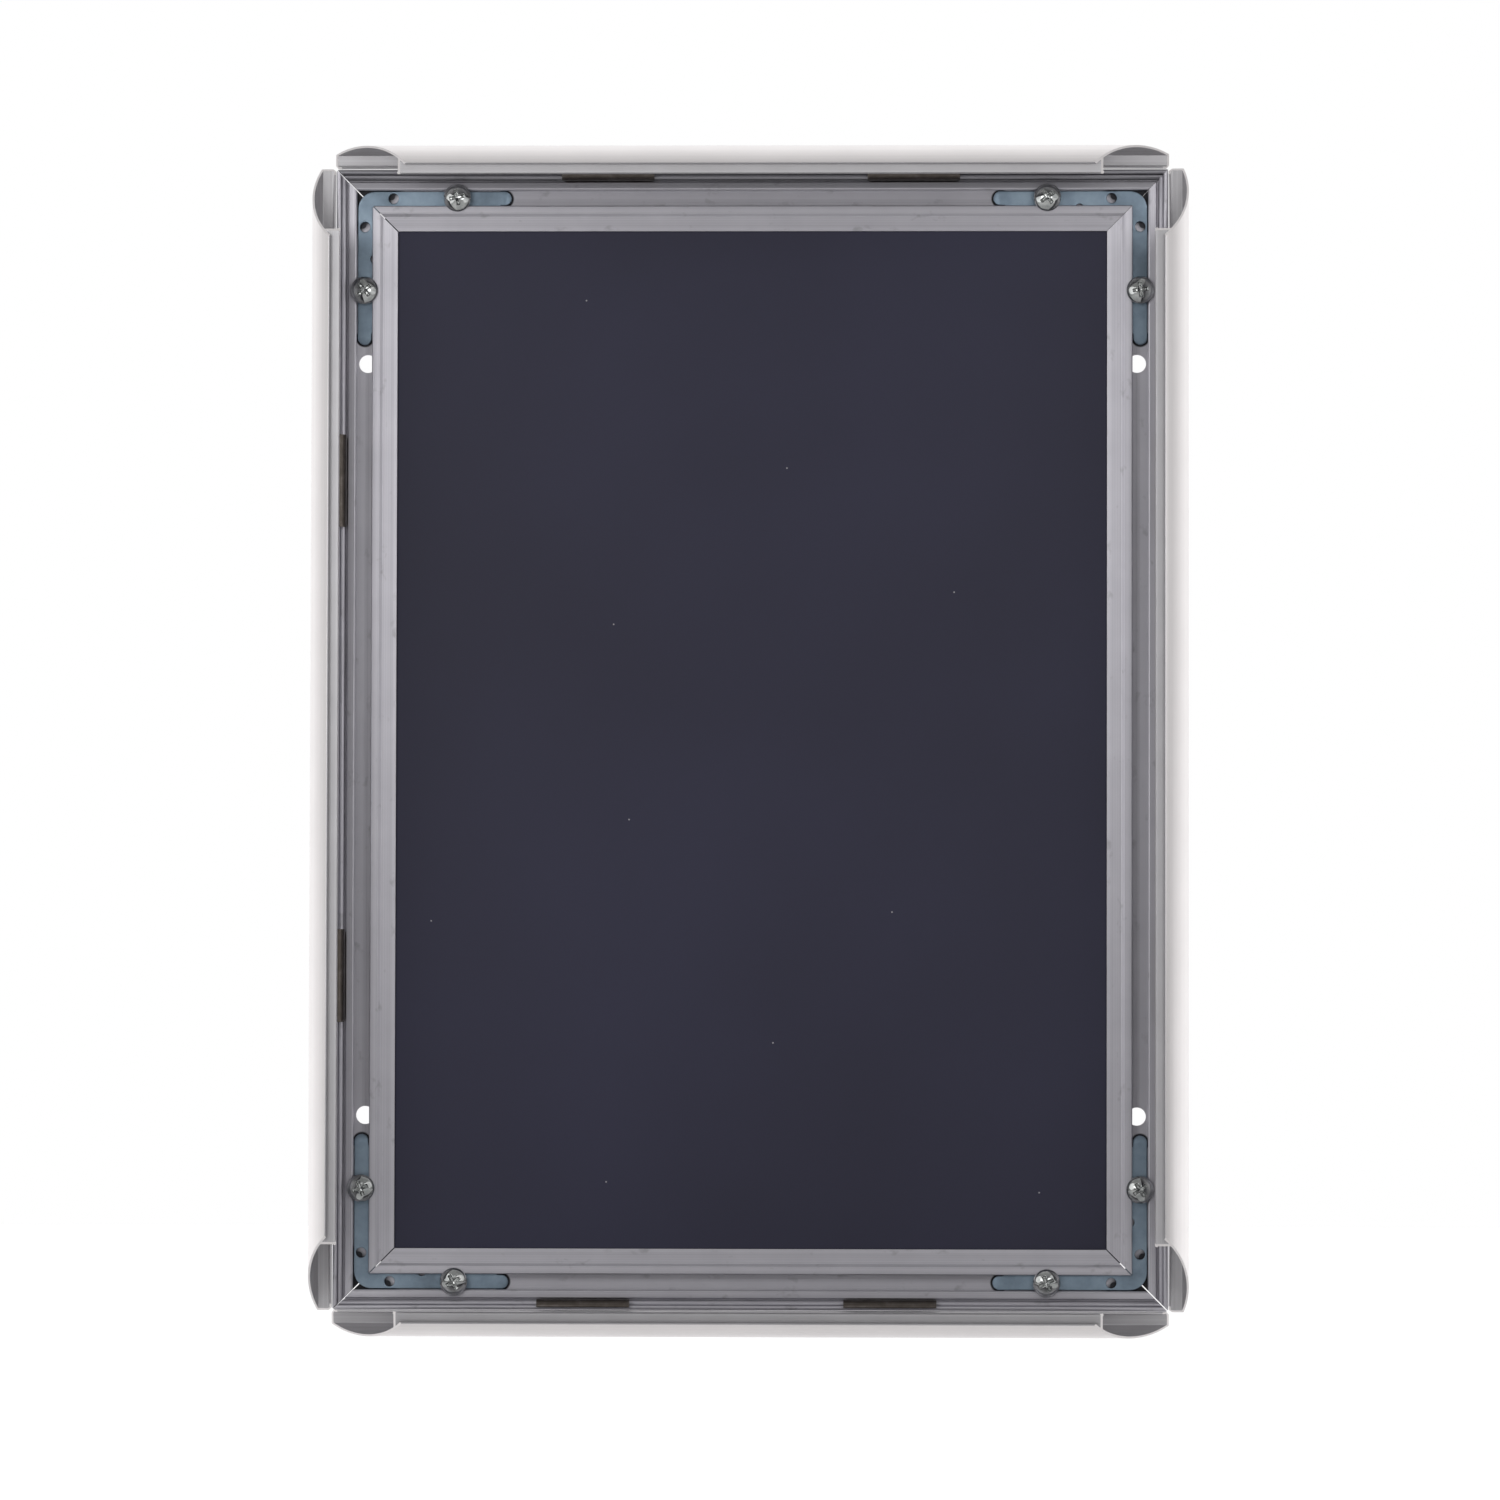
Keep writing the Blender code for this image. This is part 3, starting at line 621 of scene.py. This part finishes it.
def panelSheet(name):
    # dark plastic sheet: a fine pressed grain, slow clouds of tone and a few specks of dust
    material, tree, shader = newFinish(name, panel["tones"][1], panel["roughness"], 0.0, panel["specular"])
    place = addNode(tree, "ShaderNodeTexCoord").outputs["Object"]
    grain, clouds = noiseOf(tree, place, panel["grain"]), noiseOf(tree, place, panel["clouds"])
    mixed = sharedOut(tree, [(grain, panel["grain"]), (clouds, panel["clouds"])])
    x, _, z = splitAxes(tree, place)
    flat = addNode(tree, "ShaderNodeCombineXYZ")
    tree.links.new(x, flat.inputs[0])
    tree.links.new(z, flat.inputs[1])
    cells = addNode(tree, "ShaderNodeTexVoronoi", voronoi_dimensions="2D")
    cells.inputs["Scale"].default_value = panel["specksPerMetre"]
    tree.links.new(flat.outputs[0], cells.inputs["Vector"])
    speck = calculate(tree, "LESS_THAN", cells.outputs["Distance"], panel["speckRadius"] * panel["specksPerMetre"])
    color = mixedColor(tree, speck, colorRamp(tree, mixed, panel["places"], panel["tones"]), panel["dust"])
    tree.links.new(color, shader.inputs["Base Color"])
    tree.links.new(toRange(tree, grain, *noiseSpan, panel["roughness"] - panel["smoother"],
                           panel["roughness"] + panel["rougher"]), shader.inputs["Roughness"])
    raised(tree, shader, grain, panel["relief"])
    return material


railFinish = drawnAluminium("rail aluminium", "rail")
coverFinish = drawnAluminium("cover aluminium", "cover")
zincFinish = zincPlate("blue zinc plate")
screwFinish = brightScrewPlate("bright screw plate")
springFinish = temperedSteel("tempered spring steel")
panelFinish = panelSheet("panel sheet")
print("finishes made")


# ---- base rails ----

def railOutline():
    r = rail
    channelInner = r["channelInset"] + r["channelWidth"]
    cavityOuter, cavityInner = r["channelInset"] - r["outerUndercut"], channelInner + r["innerUndercut"]
    grooveStart = r["ridgeInset"] + r["ridgeWidth"] + r["ridgeSlope"]
    grooveEnd = grooveStart + r["grooveWidth"]
    flangeEdge = r["flangeEdge"]
    flangeUnder = r["flangeHeight"] - r["flangeThickness"]
    panelGroove = cavityInner + r["webThickness"]
    hinge = (r["hingeInset"], r["hingeHeight"])
    under = math.asin(r["neckWidth"] / 2 / r["beadRadius"])
    bead = arcPoints(hinge, r["beadRadius"], under - math.pi / 2, 3 * math.pi / 2 - under, r["beadSteps"])
    first = [
        (r["outerFace"], 0), (flangeEdge - r["rearSetback"], 0), (flangeEdge - r["rearSetback"], r["rearLip"]),
        (panelGroove, r["rearLip"]), (panelGroove, flangeUnder), (flangeEdge, flangeUnder),
        (flangeEdge, r["flangeHeight"]), (r["stepInset"] + r["stepRun"], r["flangeHeight"]),
        (r["stepInset"], r["lipHeight"]), (channelInner + r["lipEdge"], r["lipHeight"]),
        (channelInner, r["lipHeight"] - r["lipEdge"]), (channelInner, r["lipUnderside"]),
        (cavityInner, r["lipUnderside"]), (cavityInner, r["channelFloor"]),
        (cavityOuter, r["channelFloor"]), (cavityOuter, r["lipUnderside"]),
        (r["channelInset"], r["lipUnderside"]), (r["channelInset"], r["lipHeight"] - r["lipSlope"]),
        (r["channelInset"] - r["lipSlope"], r["lipHeight"]), (grooveEnd + r["lipEdge"], r["lipHeight"]),
        (grooveEnd, r["lipHeight"] - r["lipEdge"]), (grooveEnd, r["grooveFloor"]),
        (grooveStart, r["grooveFloor"]), (grooveStart, r["ridgeHeight"] - r["ridgeSlope"]),
        (r["ridgeInset"] + r["ridgeWidth"], r["ridgeHeight"]), (r["ridgeInset"], r["ridgeHeight"]),
        (hinge[0] + r["neckWidth"] / 2, hinge[1] - r["neckDrop"]),
    ]
    last = [
        (hinge[0] - r["neckWidth"] / 2, hinge[1] - r["shoulderDrop"] / 2 - r["beadRadius"] / 2),
        (r["outerFace"], hinge[1] - r["shoulderDrop"]),
    ]
    return roundedOutline(np.concatenate([first, bead, last]), r["cornerRounding"], r["roundingSteps"])


def cutRoundHoles(obj, places):
    # round holes through the floor of a channel, their places in metres, made by a solid cutter
    radius = rail["holeRadius"] * mm
    work = bmesh.new()
    for place in places:
        matrix = Matrix.Translation(place) @ Matrix.Rotation(math.pi / 2, 4, "X")
        bmesh.ops.create_cone(work, cap_ends=True, segments=rail["holeFaces"], radius1=radius, radius2=radius,
                              depth=rail["cutterDepth"] * mm, matrix=matrix)
    mesh = bpy.data.meshes.new("cutter")
    work.to_mesh(mesh)
    work.free()
    cutter = bpy.data.objects.new("cutter", mesh)
    bpy.context.scene.collection.objects.link(cutter)
    boolean = obj.modifiers.new("holes", "BOOLEAN")
    boolean.object, boolean.operation, boolean.solver = cutter, "DIFFERENCE", "EXACT"
    obj.modifiers.move(len(obj.modifiers) - 1, 0)
    bpy.context.view_layer.objects.active = obj
    bpy.ops.object.modifier_apply(modifier=boolean.name)
    bpy.data.objects.remove(cutter)
    bpy.data.meshes.remove(mesh)


def makeRail(side):
    turn, length, across = sides[side]
    startGap, endGap = [rail["mitreGap"][corner] for corner in railEnds[side]]
    obj = sweepOutline("base_rail_" + side, railOutline(),
                       lambda p: (p[:, 0] + startGap - length / 2, length / 2 - p[:, 0] - endGap),
                       lambda points: standUp(points, turn, across), railFinish)
    if side in ("left", "right"):
        middle = rail["channelInset"] + (rail["channelWidth"] + rail["innerUndercut"] - rail["outerUndercut"]) / 2
        spots = [[sign * rail["holeOffset"], middle, rail["cutterHeight"]] for sign in (-1, 1)]
        cutRoundHoles(obj, standUp(np.array(spots), turn, across))
    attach(obj, "base")
    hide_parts("rail_" + side)


for side in sides:
    makeRail(side)
print("base rails made")


# ---- snap covers ----

def makeCover(side):
    turn, length, across = sides[side]
    angle = math.radians(cover["openAngle"][side])
    c, s = math.cos(angle), math.sin(angle)

    def swing(points):
        y, z = points[:, 1], points[:, 2]
        return np.stack([points[:, 0], rail["hingeInset"] + y * c - z * s, rail["hingeHeight"] + y * s + z * c], 1)

    def endsAt(points):
        half = length / 2 - points[:, 0] - rail["hingeInset"] - cover["mitreGap"]
        return -half, half

    obj = sweepOutline("snap_cover_" + side, coverOutline(), endsAt,
                       lambda points: standUp(swing(points), turn, across), coverFinish)
    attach(obj, side + "_cover")
    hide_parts("cover_" + side)


for side in sides:
    makeCover(side)
print("snap covers made")


# ---- leaf springs ----

spring = {
    "length": 26.2, "footLength": 24.3, "thickness": 0.35, "curl": 88.0, "leg": 3.4, "foot": 2.15,
    "pitch": {"top": 86.5, "bottom": 86.5, "left": 140.0, "right": 140.0},
    "shift": {"bottom": 3.7, "right": -2.8, "top": 2.6, "left": 2.8},
    "taperRise": 3.0, "rounding": 0.09, "roundingSteps": 3, "curlSteps": 16,
}


def springOutline():
    # a straight leg in the groove, then an arc about the hinge, the same thickness all along
    leg = spring["leg"] - rail["hingeInset"]
    inner, outerSide = leg - spring["thickness"] / 2, leg + spring["thickness"] / 2
    foot = spring["foot"] - rail["hingeHeight"]
    curl = math.radians(spring["curl"])
    parts = [[(inner, foot), (outerSide, foot)], arcPoints((0, 0), outerSide, 0, curl, spring["curlSteps"]),
             arcPoints((0, 0), inner, curl, 0, spring["curlSteps"])]
    return roundedOutline(np.concatenate(parts), spring["rounding"], spring["roundingSteps"])


def makeSprings(side):
    turn, length, across = sides[side]

    def endsAt(points):
        # narrower at the foot, and at its full length from taperRise upwards
        rise = np.clip((points[:, 1] + rail["hingeHeight"] - spring["foot"]) / spring["taperRise"], 0, 1)
        half = (spring["footLength"] + (spring["length"] - spring["footLength"]) * rise) / 2
        return -half, half

    for number, sign in enumerate((-1, 1), start=1):
        move = np.array([sign * spring["pitch"][side] / 2 - spring["shift"][side],
                         rail["hingeInset"], rail["hingeHeight"]])
        obj = sweepOutline("leaf_spring_{}_{}".format(side, number), springOutline(), endsAt,
                           lambda points: standUp(points + move, turn, across), springFinish)
        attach(obj, "base")
        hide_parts("spring_{}_{}".format(side, number))


for side in sides:
    makeSprings(side)
print("leaf springs made")


# ---- corner brackets ----

bracket = {
    "thickness": 1.4, "edgeGap": 0.2, "reach": 43.8, "cornerRadius": 5.0, "tongue": 3.2, "underLip": 0.3,
    "firstHole": (10.3, 1.45), "secondHole": (19.4, 1.1), "secondSetback": 0.5,   # place along the arm, radius
    "screwPlace": 28.5, "screwHole": 2.2,
    "edgeRounding": 0.16, "edgeSteps": 3, "bendStart": 2.2, "bendDrop": 0.75,
    "cornerSteps": 20, "holeSteps": 28, "grid": 0.8, "seedGap": 0.55,   # the last as a share of the grid
    "sameWithin": 1e-6, "weld": 1e-6,   # millimetres in the drawing, metres on the mesh
}


def bracketLoops():
    # the plate's outline, its five holes, and how far its tongues reach
    b = bracket
    inner = rail["channelInset"] + rail["channelWidth"]
    edge = rail["channelInset"] + b["edgeGap"]
    under = inner + rail["innerUndercut"] - b["underLip"]
    tongueSide = inner - b["edgeGap"]
    radius = (tongueSide - edge) / 2
    end = rail["channelInset"] + b["reach"]
    shoulder = end - b["tongue"]
    corner = edge + b["cornerRadius"]
    parts = [
        arcPoints((corner, corner), b["cornerRadius"], math.pi, 3 * math.pi / 2, b["cornerSteps"]),
        arcPoints((end - radius, edge + radius), radius, -math.pi / 2, math.pi / 2, b["cornerSteps"]),
        [(shoulder, tongueSide), (shoulder, under), (under, under), (under, shoulder), (tongueSide, shoulder)],
        arcPoints((edge + radius, end - radius), radius, 0, math.pi, b["cornerSteps"]),
    ]
    middle = rail["channelInset"] + rail["channelWidth"] / 2
    start = rail["channelInset"]
    places = [(start + b["secondHole"][0], inner + b["secondSetback"], b["secondHole"][1])]
    for along, hole in (b["firstHole"], (b["screwPlace"], b["screwHole"])):
        places += [(start + along, middle, hole), (middle, start + along, hole)]
    holes = [arcPoints((x, y), hole, 0, 2 * math.pi, b["holeSteps"])[:-1] for x, y, hole in places]
    return np.concatenate(parts), holes, end


def resampled(loop, spacing):
    # the same closed loop with extra points, none further apart than the spacing
    ahead = np.roll(loop, -1, 0)
    count = np.maximum(1, np.ceil(np.linalg.norm(ahead - loop, axis=1) / spacing)).astype(int)
    start = np.repeat(np.arange(len(loop)), count)
    share = (np.arange(count.sum()) - np.repeat(np.cumsum(count) - count, count)) / count[start]
    return loop[start] * (1 - share)[:, None] + ahead[start] * share[:, None]


def facedPlate(faceLoops):
    # a triangle mesh that fills the first loop and leaves the others open: seeds on an even grid,
    # and of the triangles only those whose middle is inside, by counting crossings
    flat = np.concatenate(faceLoops)
    grid = bracket["grid"]
    (lowX, lowY), (highX, highY) = flat.min(0), flat.max(0)
    gx, gy = np.meshgrid(np.arange(lowX, highX, grid), np.arange(lowY, highY, grid))
    seeds = np.column_stack([gx.ravel(), gy.ravel()])
    distance = np.min(np.linalg.norm(seeds[:, None] - flat[None], axis=2), axis=1)
    seeds = seeds[distance > grid * bracket["seedGap"]]
    edges, start = [], 0
    for loop in faceLoops:
        index = start + np.arange(len(loop))
        edges += np.column_stack([index, np.roll(index, -1)]).tolist()
        start += len(loop)
    found = geometry.delaunay_2d_cdt([tuple(p) for p in np.concatenate([flat, seeds])], edges, [], 2,
                                    bracket["sameWithin"])
    points, triangles = np.array([list(v) for v in found[0]]), np.array(found[2])
    centre = points[triangles].mean(1)
    inside = np.zeros(len(centre), bool)
    for loop in faceLoops:
        p, q = loop, np.roll(loop, -1, 0)
        rising = (p[None, :, 1] > centre[:, None, 1]) != (q[None, :, 1] > centre[:, None, 1])
        with np.errstate(divide="ignore", invalid="ignore"):
            meet = (q[:, 0] - p[:, 0]) * (centre[:, None, 1] - p[:, 1]) / (q[:, 1] - p[:, 1]) + p[:, 0]
        inside ^= (rising & (centre[:, None, 0] < meet)).sum(1) % 2 == 1
    return points, triangles[inside]


def makeBracket(corner):
    # a flat plate: its rim is an edge profile carried round each loop, its two faces a triangle mesh
    turn, xSide, zSide = corners[corner]
    b = bracket
    outline, holes, end = bracketLoops()
    top = rail["lipUnderside"] - b["underLip"]
    low = top - b["thickness"]
    loops = [resampled(outline, b["grid"])] + holes
    inward = [-outwardNormals(loops[0])] + [outwardNormals(hole) for hole in holes]
    quarter = np.linspace(0, math.pi / 2, b["edgeSteps"] + 1)
    drawn = b["edgeRounding"] * (1 - np.concatenate([np.sin(quarter), np.sin(quarter[::-1])]))
    rise = np.concatenate([low + b["edgeRounding"] * (1 - np.cos(quarter)),
                           top - b["edgeRounding"] * (1 - np.cos(quarter[::-1]))])
    flat, triangles = facedPlate([loop + inset * b["edgeRounding"] for loop, inset in zip(loops, inward)])
    count = len(flat)
    vertices = [np.column_stack([flat, np.full(count, z)]) for z in (top, low)]
    faces = triangles.tolist() + (triangles[:, ::-1] + count).tolist()
    offset = 2 * count
    for loop, inset in zip(loops, inward):
        size = len(loop)
        rim = [np.column_stack([loop + inset * d, np.full(size, z)]) for d, z in zip(drawn, rise)]
        vertices += rim
        faces += (gridQuads(len(rim), size)[0] + offset).tolist()
        offset += len(rim) * size
    points = np.concatenate(vertices)
    # the last stretch of each tongue is pressed down in a gentle curve
    for axis in (0, 1):
        past = np.clip((points[:, axis] - (end - b["bendStart"])) / b["bendStart"], 0, 1)
        points[:, 2] -= b["bendDrop"] * past ** 2
    obj = makePiece("corner_bracket_" + corner, standCorner(points, turn, xSide, zSide), faces, zincFinish,
                    merge=b["weld"])
    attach(obj, "base")
    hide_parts("bracket_" + corner)


for corner in corners:
    makeBracket(corner)
print("corner brackets made")


# ---- pan-head screws ----

screw = {
    "shank": 1.9, "head": 3.9, "height": 2.5, "rim": 0.5, "seat": 4.2, "shankEnd": 1.2,
    "underHead": 3.4, "fillet": 0.1, "chamfer": 0.3,
    "crossSpan": 2.2, "crossHalf": 0.52, "crossDepth": 1.45, "crossWall": 0.34, "crossLead": 0.06, "crossFade": 0.45,
    "fineTo": 2.7, "fineRings": 46, "coarse": (2.75, 3.82), "coarseRings": 12, "facets": 96,
    "rollFrom": 0.15, "rollRings": 6, "rollWidth": 0.28, "rollHeight": 0.26, "rollLift": 0.02,
    "weld": 2e-6, "sharpFrom": 50,   # metres, degrees
    "turns": {"top_left_1": 40, "top_left_2": 12, "top_right_1": 38, "top_right_2": 8,
              "bottom_left_1": 30, "bottom_left_2": 20, "bottom_right_1": 35, "bottom_right_2": 25},
}


def screwPoints(turnDegrees):
    # a turned profile (radius, height) on a grid of angle and ring; inside the head's top,
    # the height drops by a smooth step of the distance to a cross of two bars
    s = screw
    domeHeight = s["height"] - s["rim"]
    domeRadius = (s["head"] ** 2 + domeHeight ** 2) / (2 * domeHeight)
    ringRadius = np.concatenate([np.linspace(0, s["fineTo"], s["fineRings"]),
                                 np.linspace(*s["coarse"], s["coarseRings"])])
    height = s["height"] - domeRadius + np.sqrt(domeRadius ** 2 - ringRadius ** 2)
    rimTurn = np.linspace(s["rollFrom"], 1.0, s["rollRings"]) * math.pi
    rimRadius = s["head"] - s["rollWidth"] + s["rollWidth"] * np.sin(rimTurn)
    rimHeight = s["rim"] / 2 + s["rollLift"] + s["rollHeight"] * np.cos(rimTurn)
    shankEnd = s["shankEnd"] - s["seat"]
    under = [(s["underHead"], 0), (s["shank"] + s["fillet"], 0), (s["shank"], -s["fillet"]),
             (s["shank"], shankEnd + s["chamfer"]), (s["shank"] - s["chamfer"], shankEnd), (0, shankEnd)]
    radius = np.concatenate([ringRadius, rimRadius, [p[0] for p in under]])
    height = np.concatenate([height, rimHeight, [p[1] for p in under]])
    angle = np.linspace(0, 2 * math.pi, s["facets"] + 1)[:-1]
    x, y = radius[:, None] * np.cos(angle), radius[:, None] * np.sin(angle)
    z = np.repeat(height[:, None], len(angle), 1)
    turned = math.radians(turnDegrees)
    cx, cy = x * math.cos(turned) + y * math.sin(turned), -x * math.sin(turned) + y * math.cos(turned)

    def fromBar(a, b):
        return np.maximum(np.abs(a) - s["crossSpan"], np.abs(b) - s["crossHalf"])

    inside = -np.minimum(fromBar(cx, cy), fromBar(cy, cx))
    share = np.clip((inside + s["crossLead"]) / s["crossWall"], 0, 1)
    share = share * share * (3 - 2 * share)
    centre = 1 - s["crossFade"] * np.clip(np.hypot(cx, cy) / s["crossSpan"], 0, 1)
    topRows = np.arange(len(radius))[:, None] < len(ringRadius)
    return x, y, z - np.where(topRows, s["crossDepth"] * share * centre, 0)


def makeScrew(corner, number):
    turn, xSide, zSide = corners[corner]
    x, y, z = screwPoints(screw["turns"]["{}_{}".format(corner, number)])
    rows, count = x.shape
    place = rail["channelInset"] + bracket["screwPlace"]
    middle = rail["channelInset"] + rail["channelWidth"] / 2
    at = (place, middle) if number == 1 else (middle, place)
    points = np.column_stack([x.ravel() + at[0], y.ravel() + at[1], z.ravel() + screw["seat"]])
    obj = makePiece("pan_screw_{}_{}".format(corner, number), standCorner(points, turn, xSide, zSide),
                    gridQuads(rows, count)[0].tolist(), screwFinish, merge=screw["weld"], weighted=False,
                    sharpFrom=screw["sharpFrom"])
    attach(obj, "base")
    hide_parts("screw_{}_{}".format(corner, number))


for corner in corners:
    for number in (1, 2):
        makeScrew(corner, number)
print("screws made")


# ---- backing panel: the model's own solid, with its finish ----

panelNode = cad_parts["back_panel"]
panelNode.data.materials.clear()
panelNode.data.materials.append(panelFinish)
print("backing panel finished")
